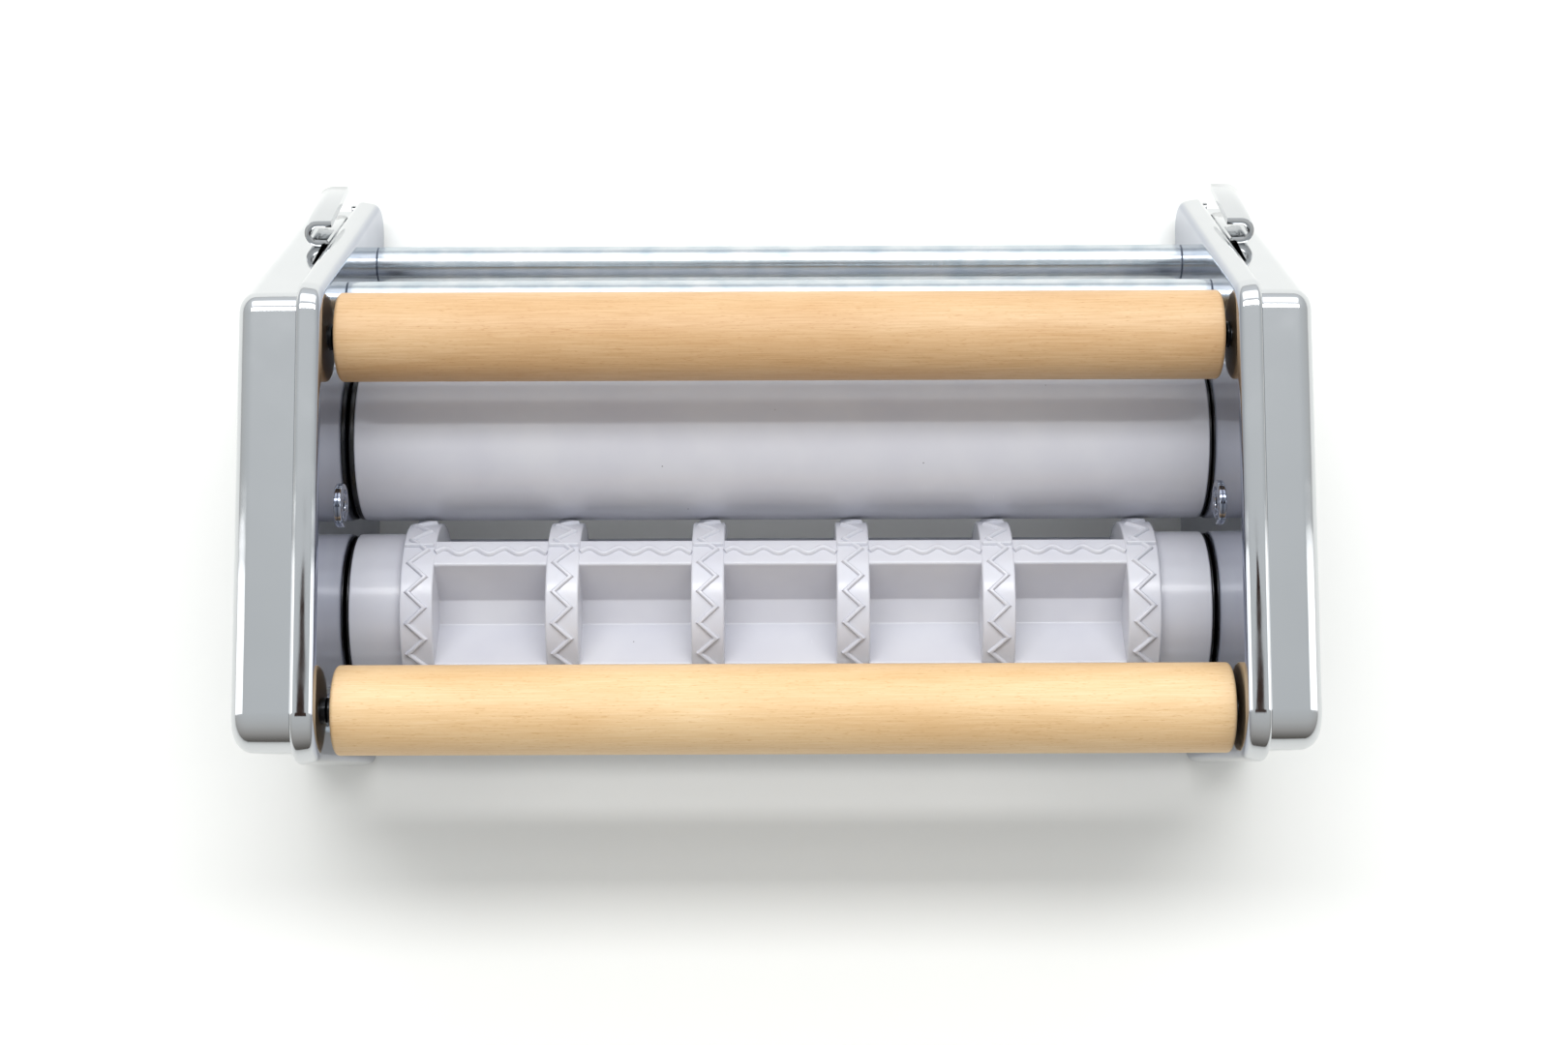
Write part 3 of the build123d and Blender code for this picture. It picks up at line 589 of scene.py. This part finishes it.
def bright_zinc():
    """Bright zinc on drawn bar: bluish, less sharp than chrome, with fine lines along the bar
    from the die and cloudy patches a few millimetres long."""
    made, tree, shader, mm = finish_of("bright_zinc", "#C9D0D6", 1.0, 0.2)
    lines_place = add(tree, "ShaderNodeMapping", {"Vector": mm, "Scale": (1 / 40, 1 / 0.35, 1 / 0.35)})
    lines = add(tree, "ShaderNodeTexNoise", {"Vector": lines_place.outputs[0], "Scale": 1.0, "Detail": 3.0})
    clouds = add(tree, "ShaderNodeTexNoise", {"Vector": mm, "Scale": 1 / 6, "Detail": 4.0})
    tint = add(tree, "ShaderNodeValToRGB", {0: clouds.outputs["Fac"]})
    set_stops(tint, ((0.3, "#B9C4CC"), (0.7, "#D6DADD")))
    rough = add(tree, "ShaderNodeMapRange", {"Value": lines.outputs["Fac"], "To Min": 0.14, "To Max": 0.3})
    bump = add(tree, "ShaderNodeBump", {"Height": lines.outputs["Fac"], "Strength": 0.2, "Distance": 0.00008})
    tree.links.new(tint.outputs["Color"], shader.inputs["Base Color"])
    tree.links.new(rough.outputs["Result"], shader.inputs["Roughness"])
    tree.links.new(bump.outputs["Normal"], shader.inputs["Normal"])
    return made


zinc = bright_zinc()
for node in ("rear_upper_tie_rod", "rear_lower_tie_rod", "front_tie_rod"):
    low, high = corners_of(node)
    radius = (high[2] - low[2]) / 2
    rod_path = [(low[0], 0), (low[0], radius), (high[0], radius), (high[0], 0)]
    rod_profile = rounded(rod_path, [0, ROD_EDGE, ROD_EDGE, 0], closed=False)
    fit(f"{node}_bar", [turned(rod_profile, axis_of(node))], zinc, [node])


# --- Wooden guide rollers --------------------------------------------------------------------
# Two beech dowels, 18 mm through and sanded smooth, that lead the dough sheets down to the
# rollers. Each turns freely on a steel axle between two black nylon spacers.
GUIDE_END_ROUND = 0.8
GUIDE_BORE = 1.55
SPACER_BORE = 1.52
SPACER_EDGE = 0.3
SPACER_GAP = 0.3


def sanded_beech(name, dark, middle, light):
    """Beech dowel, oiled by use: pale warm wood with fine grain along the roller, short darker
    flecks where the rays are cut, and slow changes of tone along its length."""
    made, tree, shader, mm = finish_of(name, middle, 0.0, 0.5)
    grain_place = add(tree, "ShaderNodeMapping", {"Vector": mm, "Scale": (1 / 9, 1 / 0.3, 1 / 0.3)})
    grain = add(tree, "ShaderNodeTexNoise", {"Vector": grain_place.outputs[0], "Scale": 1.0, "Detail": 4.0,
                                              "Roughness": 0.6})
    fleck_place = add(tree, "ShaderNodeMapping", {"Vector": mm, "Scale": (1 / 1.6, 1 / 0.2, 1 / 0.2)})
    flecks = add(tree, "ShaderNodeTexNoise", {"Vector": fleck_place.outputs[0], "Scale": 1.0, "Detail": 1.0})
    tone_place = add(tree, "ShaderNodeMapping", {"Vector": mm, "Scale": (1 / 45, 1 / 9, 1 / 9)})
    tone = add(tree, "ShaderNodeTexNoise", {"Vector": tone_place.outputs[0], "Scale": 1.0, "Detail": 2.0})
    wood = add(tree, "ShaderNodeValToRGB", {0: grain.outputs["Fac"]})
    set_stops(wood, ((0.28, dark), (0.5, middle), (0.72, light)))
    shade = add(tree, "ShaderNodeValToRGB", {0: tone.outputs["Fac"]})
    set_stops(shade, ((0.3, "#F3EADF"), (0.7, "#FFFFFF")))
    mark = add(tree, "ShaderNodeValToRGB", {0: flecks.outputs["Fac"]})
    set_stops(mark, ((0.62, "#FFFFFF"), (0.75, "#EADBC6")))
    toned = add(tree, "ShaderNodeMix", {"Factor": 1.0, 6: wood.outputs["Color"], 7: shade.outputs["Color"]},
                data_type="RGBA", blend_type="MULTIPLY")
    marked = add(tree, "ShaderNodeMix", {"Factor": 0.8, 6: toned.outputs[2], 7: mark.outputs["Color"]},
                 data_type="RGBA", blend_type="MULTIPLY")
    bump = add(tree, "ShaderNodeBump", {"Height": grain.outputs["Fac"], "Strength": 0.3, "Distance": 0.0001})
    tree.links.new(marked.outputs[2], shader.inputs["Base Color"])
    tree.links.new(bump.outputs["Normal"], shader.inputs["Normal"])
    return made


def black_nylon():
    """Moulded black nylon: near black with a soft gloss and a faint moulded texture."""
    made, tree, shader, mm = finish_of("black_nylon", "#101112", 0.0, 0.3)
    texture = add(tree, "ShaderNodeTexNoise", {"Vector": mm, "Scale": 1 / 0.5, "Detail": 2.0})
    rough = add(tree, "ShaderNodeMapRange", {"Value": texture.outputs["Fac"], "To Min": 0.22, "To Max": 0.38})
    bump = add(tree, "ShaderNodeBump", {"Height": texture.outputs["Fac"], "Strength": 0.15,
                                         "Distance": 0.00005})
    tree.links.new(rough.outputs["Result"], shader.inputs["Roughness"])
    tree.links.new(bump.outputs["Normal"], shader.inputs["Normal"])
    return made


# The front dowel gets a paler copy of the beech than the rear one.
beech = {"rear": sanded_beech("sanded_beech_tan", "#C9A476", "#D2AF84", "#DABA91"),
         "front": sanded_beech("sanded_beech_pale", "#E0BE8E", "#E6C698", "#ECCFA5")}
nylon = black_nylon()
spacer_low, spacer_high = corners_of("guide_spacers")
spacers = []
for place in ("rear", "front"):
    low, high = corners_of(f"{place}_guide_roller")
    axis = axis_of(f"{place}_guide_roller")
    radius = (high[2] - low[2]) / 2
    guide_path = [(low[0], GUIDE_BORE), (low[0], radius), (high[0], radius), (high[0], GUIDE_BORE)]
    guide_profile = rounded(guide_path, [0.1, GUIDE_END_ROUND, GUIDE_END_ROUND, 0.1])
    fit(f"{place}_beech_roller", [turned(guide_profile, axis)], beech[place],
        [f"{place}_guide_roller"])
    spacer_radius = spacer_high[2] - axis[1]
    for from_x, to_x in ((spacer_low[0], low[0] - SPACER_GAP), (high[0] + SPACER_GAP, spacer_high[0])):
        spacer_path = [(from_x, SPACER_BORE), (from_x, spacer_radius), (to_x, spacer_radius),
                       (to_x, SPACER_BORE)]
        spacer_profile = rounded(spacer_path, [0.05, SPACER_EDGE, SPACER_EDGE, 0.05], hold=0.05)
        spacers.append(turned(spacer_profile, axis, 48))
fit("guide_spacer_tubes", spacers, nylon, ["guide_spacers"])


# --- Smooth roller ---------------------------------------------------------------------------
# A white moulded sleeve pressed on two steel plugs, with a thin black disc on each end. It
# carries the second dough sheet to the nip.
ROLLER_EDGE = 0.4
SLEEVE_BORE = 13.5
SHAFT_BORE = 6.02
DISC_STEP = 0.3
DISC_EDGE = 0.35


def white_plastic():
    """Injection-moulded white plastic, a little cold in hue and satin, with a few dark specks
    and fine scratches from use."""
    made, tree, shader, mm = finish_of("white_plastic", "#C8C9D1", 0.0, 0.22)
    cloud = add(tree, "ShaderNodeTexNoise", {"Vector": mm, "Scale": 1 / 14, "Detail": 3.0})
    tint = add(tree, "ShaderNodeValToRGB", {0: cloud.outputs["Fac"]})
    set_stops(tint, ((0.3, "#C5C6CF"), (0.7, "#CCCDD4")))
    cells = add(tree, "ShaderNodeTexVoronoi", {"Vector": mm, "Scale": 1 / 7.0, "Randomness": 1.0})
    speck = add(tree, "ShaderNodeValToRGB", {0: cells.outputs["Distance"]})
    set_stops(speck, ((0.016, "#6E6C6C"), (0.03, "#FFFFFF")))
    base = add(tree, "ShaderNodeMix", {"Factor": 0.8, 6: tint.outputs["Color"], 7: speck.outputs["Color"]},
               data_type="RGBA", blend_type="MULTIPLY")
    scratch_place = add(tree, "ShaderNodeMapping", {"Vector": mm, "Scale": (1 / 0.5, 1 / 6, 1 / 6)})
    scratches = add(tree, "ShaderNodeTexNoise", {"Vector": scratch_place.outputs[0], "Scale": 1.0,
                                                  "Detail": 2.0})
    rough = add(tree, "ShaderNodeMapRange", {"Value": scratches.outputs["Fac"], "To Min": 0.17,
                                              "To Max": 0.30})
    bump = add(tree, "ShaderNodeBump", {"Height": cloud.outputs["Fac"], "Strength": 0.1, "Distance": 0.0002})
    tree.links.new(base.outputs[2], shader.inputs["Base Color"])
    tree.links.new(rough.outputs["Result"], shader.inputs["Roughness"])
    tree.links.new(bump.outputs["Normal"], shader.inputs["Normal"])
    return made


def tube(low_x, high_x, bore, radius, edge):
    """Profile of a tube with its outer edges rounded."""
    path = [(low_x, bore), (low_x, radius), (high_x, radius), (high_x, bore)]
    return rounded(path, [0.02, edge, edge, 0.02])


def end_discs(node, axis, roller_low, roller_high, roller_radius):
    """Both discs of a roller, a small step less in radius, from its ends almost to the walls."""
    low, high = corners_of(node)
    radius = roller_radius - DISC_STEP
    discs = [turned(tube(low[0], roller_low, SHAFT_BORE, radius, DISC_EDGE), axis),
             turned(tube(roller_high, high[0], SHAFT_BORE, radius, DISC_EDGE), axis)]
    fit(f"{node}_pair", discs, nylon, [node])


plastic = white_plastic()
low, high = corners_of("smooth_roller_sleeve")
smooth_radius = (high[2] - low[2]) / 2
sleeve_profile = tube(low[0], high[0], SLEEVE_BORE, smooth_radius, ROLLER_EDGE)
fit("smooth_sleeve", [turned(sleeve_profile, smooth_axis, 128)], plastic,
    ["smooth_roller_sleeve"])
end_discs("smooth_end_discs", smooth_axis, low[0], high[0], smooth_radius)


# --- Ravioli roller --------------------------------------------------------------------------
# One white moulding on a steel shaft: six rings and four bars leave twenty square pockets in
# five columns, and low ridges on rings and bars crimp the two dough sheets together.
RING_RADIUS = 18.6
BAR_RADIUS = 18.35
RING_WIDTH = 6.85
RING_PITCH = 30.0
RING_COUNT = 6
BAR_COUNT = 4
BAR_ANGLE = radians(52.0)
POCKET_FLOOR = 7.4
RAVIOLI_PLAIN_RADIUS = 16.4
RING_EDGE = 0.45
BAR_EDGE = 0.45
FLOOR_ROUND = 0.7
HOLD = 0.12
RING_CENTRES = MID_X + RING_PITCH * (np.arange(RING_COUNT) - (RING_COUNT - 1) / 2)
BAR_TURNS = BAR_ANGLE + np.arange(BAR_COUNT) * pi / 2


def pocket_outline():
    """Roller's section between two rings as Y and Z about its axis: a bar with a crest on the bar
    circle and half a flat floor each side, turned four times by a quarter."""
    half = RING_WIDTH / 2
    crest = np.sqrt(BAR_RADIUS ** 2 - half ** 2)
    foot = POCKET_FLOOR * np.sqrt(2) - half
    floor_middle = POCKET_FLOOR / np.sqrt(2)
    quarter_path = [(floor_middle, -floor_middle), (foot, -half), (crest, -half), (crest, half),
                    (foot, half), (floor_middle, floor_middle)]
    radii = [0, FLOOR_ROUND, BAR_EDGE, BAR_EDGE, FLOOR_ROUND, 0]
    quarter = rounded(quarter_path, radii, arc_steps=5, run_steps=6, closed=False)
    bulge = np.sqrt(BAR_RADIUS ** 2 - np.minimum(np.abs(quarter[:, 1]), half) ** 2) - crest
    quarter[:, 0] += np.where(quarter[:, 0] > crest - 2 * BAR_EDGE, bulge, 0)
    turns = BAR_TURNS[:, None]
    y = quarter[:, 0] * np.cos(turns) - quarter[:, 1] * np.sin(turns)
    z = quarter[:, 0] * np.sin(turns) + quarter[:, 1] * np.cos(turns)
    outline = np.stack([y.ravel(), z.ravel()], -1)
    return np.concatenate([outline, outline[:1]])


def ravioli_body(low_x, high_x):
    """Roller as a radius over angle and x: the larger of the pocket section and the ring's own
    rounded profile, with plain cylinders outside the outer rings and a bore for the shaft."""
    outline = pocket_outline()
    angle = np.unwrap(np.arctan2(outline[:, 1], outline[:, 0]))
    pocket = np.hypot(outline[:, 0], outline[:, 1])
    corner = np.linspace(0, pi / 2, 5)
    half = RING_WIDTH / 2
    rise_x = np.concatenate([[-half - HOLD, -half], -half + RING_EDGE * (1 - np.cos(corner)),
                             [-half + RING_EDGE + HOLD]])
    rise_r = np.concatenate([[0, 0], RING_RADIUS - RING_EDGE * (1 - np.sin(corner)), [RING_RADIUS]])
    ring_x = np.concatenate([rise_x, -rise_x[::-1]])
    ring_r = np.concatenate([rise_r, rise_r[::-1]])
    rows_x = (RING_CENTRES[:, None] + ring_x).ravel()
    rows_r = np.tile(ring_r, RING_COUNT)
    plain = (rows_x < RING_CENTRES[0]) | (rows_x > RING_CENTRES[-1])
    inner = np.where(plain[:, None], RAVIOLI_PLAIN_RADIUS, pocket)
    rings = np.maximum(inner, rows_r[:, None])
    edge = ROLLER_EDGE * (1 - np.cos(corner))
    drop = ROLLER_EDGE * (1 - np.sin(corner))
    start_x = np.concatenate([[low_x], low_x + edge, [low_x + ROLLER_EDGE + HOLD]])
    start_r = np.concatenate([[SHAFT_BORE], RAVIOLI_PLAIN_RADIUS - drop, [RAVIOLI_PLAIN_RADIUS]])
    end_x = (high_x - (start_x - low_x))[::-1]
    x = np.concatenate([start_x, rows_x, end_x, [low_x]])
    ends = start_r[:, None] + 0 * angle
    radius = np.concatenate([ends, rings, ends[::-1], ends[:1]])
    y = ravioli_axis[0] + radius * np.cos(angle)
    z = ravioli_axis[1] + radius * np.sin(angle)
    return np.stack([x[:, None] + 0 * angle, y, z], -1)


RIDGE_HEIGHT = 0.65
RIDGE_WIDTH = 1.0
RIDGE_ROOT = 0.3
ZIGZAG_TEETH = 18
ZIGZAG_REACH = 1.75
WAVE_LENGTH = 6.2
WAVE_REACH = 0.8
WAVE_START = 1.9
WAVE_HEIGHT = 0.75
WAVE_WIDTH = 1.25
CROSS_LEAD = 1.5


def ridge(route, closed, width, height, circle, steps):
    """Low ridge laid on a circle of the roller. Its route is a run of corners (arc length, x).
    The profile is offset along each corner's mitre, cut into steps, and rolled on the circle."""
    before = np.roll(route, 1, axis=0)
    after = np.roll(route, -1, axis=0)
    if closed:
        before[0, 0] -= 2 * pi * circle
        after[-1, 0] += 2 * pi * circle
    else:
        before[0] = 2 * route[0] - route[1]
        after[-1] = 2 * route[-1] - route[-2]
    arriving = (route - before) / np.linalg.norm(route - before, axis=1, keepdims=True)
    leaving = (after - route) / np.linalg.norm(after - route, axis=1, keepdims=True)
    normal_in = np.stack([-arriving[:, 1], arriving[:, 0]], -1)
    normal_out = np.stack([-leaving[:, 1], leaving[:, 0]], -1)
    mitre = (normal_in + normal_out) / (1 + (normal_in * normal_out).sum(1, keepdims=True))
    side = width / 2 * np.array([-1, -1, -0.62, -0.3, 0.3, 0.62, 1, 1, -1])
    level = np.array([-RIDGE_ROOT, 0, 0.8 * height, height, height, 0.8 * height, 0,
                      -RIDGE_ROOT, -RIDGE_ROOT])
    lines = route[:, None] + side[:, None] * mitre[:, None]
    if closed:
        lines = np.concatenate([lines, lines[:1] + [2 * pi * circle, 0]])
    share = np.linspace(0, 1, steps, endpoint=False)[:, None, None]
    cuts = (lines[:-1, None] + share * (lines[1:] - lines[:-1])[:, None]).reshape(-1, *lines.shape[1:])
    cuts = np.concatenate([cuts, lines[-1:]])
    radius = circle + level
    turn = cuts[..., 0] / circle
    y = ravioli_axis[0] + radius * np.cos(turn)
    z = ravioli_axis[1] + radius * np.sin(turn)
    grid = np.stack([cuts[..., 1], y, z], -1)
    return grid if closed else capped(grid)


low, high = corners_of("ravioli_roller")
fit("ravioli_roller_moulding", [ravioli_body(low[0], high[0])], plastic,
    ["ravioli_roller"])
end_discs("ravioli_end_discs", ravioli_axis, low[0], high[0], RAVIOLI_PLAIN_RADIUS)

ridges = []
corner_count = 2 * ZIGZAG_TEETH
zigzag_arc = BAR_ANGLE * RING_RADIUS + np.arange(corner_count) * 2 * pi * RING_RADIUS / corner_count
zigzag_side = ZIGZAG_REACH * (1 - 2 * (np.arange(corner_count) % 2))
wave_x = np.linspace(0, RING_PITCH - RING_WIDTH, 47)
wave_arc = WAVE_REACH * np.cos(2 * pi * (wave_x - WAVE_START) / WAVE_LENGTH)
for centre in RING_CENTRES:
    route = np.stack([zigzag_arc, centre + zigzag_side], -1)
    ridges.append(ridge(route, True, RIDGE_WIDTH, RIDGE_HEIGHT, RING_RADIUS, 4))
    for turn in BAR_TURNS:
        reach = RING_WIDTH / 2 - RING_EDGE
        arc = turn * RING_RADIUS - CROSS_LEAD
        route = np.array([[arc, centre - reach], [arc, centre + reach]])
        ridges.append(ridge(route, False, RIDGE_WIDTH, WAVE_HEIGHT, RING_RADIUS, 1))
for start in RING_CENTRES[:-1] + RING_WIDTH / 2:
    for turn in BAR_TURNS:
        route = np.stack([turn * BAR_RADIUS - wave_arc, start + wave_x], -1)
        ridges.append(ridge(route, False, WAVE_WIDTH, WAVE_HEIGHT, BAR_RADIUS, 1))
place_on("ravioli_roller", "crimping_ridges", ridges, plastic, crease=50.0)


# --- Shafts, gears, pins, clips, bushes and screws -------------------------------------------
# What works inside the covers keeps its CAD shape. Shafts, gears, posts and pins are turned
# steel, clips are spring steel, bushes are natural nylon and the screws are zinc plated.


def turned_steel():
    """Turned mild steel with a film of oil: grey, with fine rings from the lathe tool."""
    made, tree, shader, mm = finish_of("turned_steel", "#A9ABAD", 1.0, 0.32)
    rings_place = add(tree, "ShaderNodeMapping", {"Vector": mm, "Scale": (1 / 0.3, 1 / 20, 1 / 20)})
    rings = add(tree, "ShaderNodeTexNoise", {"Vector": rings_place.outputs[0], "Scale": 1.0, "Detail": 2.0})
    rough = add(tree, "ShaderNodeMapRange", {"Value": rings.outputs["Fac"], "To Min": 0.24, "To Max": 0.42})
    bump = add(tree, "ShaderNodeBump", {"Height": rings.outputs["Fac"], "Strength": 0.25,
                                         "Distance": 0.00005})
    tree.links.new(rough.outputs["Result"], shader.inputs["Roughness"])
    tree.links.new(bump.outputs["Normal"], shader.inputs["Normal"])
    return made


def spring_steel():
    """Blued spring steel: dark, a little blue, with a satin surface."""
    made, tree, shader, mm = finish_of("blued_spring_steel", "#4A4E55", 1.0, 0.35)
    patches = add(tree, "ShaderNodeTexNoise", {"Vector": mm, "Scale": 1 / 2.5, "Detail": 3.0})
    tint = add(tree, "ShaderNodeValToRGB", {0: patches.outputs["Fac"]})
    set_stops(tint, ((0.3, "#3D4250"), (0.7, "#5A5C60")))
    tree.links.new(tint.outputs["Color"], shader.inputs["Base Color"])
    return made


def natural_nylon():
    """Undyed moulded nylon: a milky, slightly waxy off-white."""
    made, tree, shader, mm = finish_of("natural_nylon", "#E4E0D2", 0.0, 0.4)
    cloud = add(tree, "ShaderNodeTexNoise", {"Vector": mm, "Scale": 1 / 4, "Detail": 2.0})
    tint = add(tree, "ShaderNodeValToRGB", {0: cloud.outputs["Fac"]})
    set_stops(tint, ((0.3, "#DCD7C6"), (0.7, "#EAE7DC")))
    tree.links.new(tint.outputs["Color"], shader.inputs["Base Color"])
    return made


steel = turned_steel()
spring = spring_steel()
bush_nylon = natural_nylon()
inner_finishes = {
    "ravioli_roller_shaft": steel, "smooth_roller_shaft": steel, "ravioli_roller_gear": steel,
    "smooth_roller_gear": steel, "ravioli_gear_pin": steel, "smooth_gear_pin": steel,
    "smooth_roller_plugs": steel, "hook_rivets": steel, "cover_posts": steel,
    "rear_guide_axle": steel, "front_guide_axle": steel, "ravioli_shaft_clips": spring,
    "smooth_shaft_clips": spring, "guide_axle_clips": spring, "roller_bushes": bush_nylon,
    "tie_rod_screws": zinc, "cover_screws": zinc,
}
for node, finish in inner_finishes.items():
    materials = frame["nodes"][node].data.materials
    materials.clear()
    materials.append(finish)
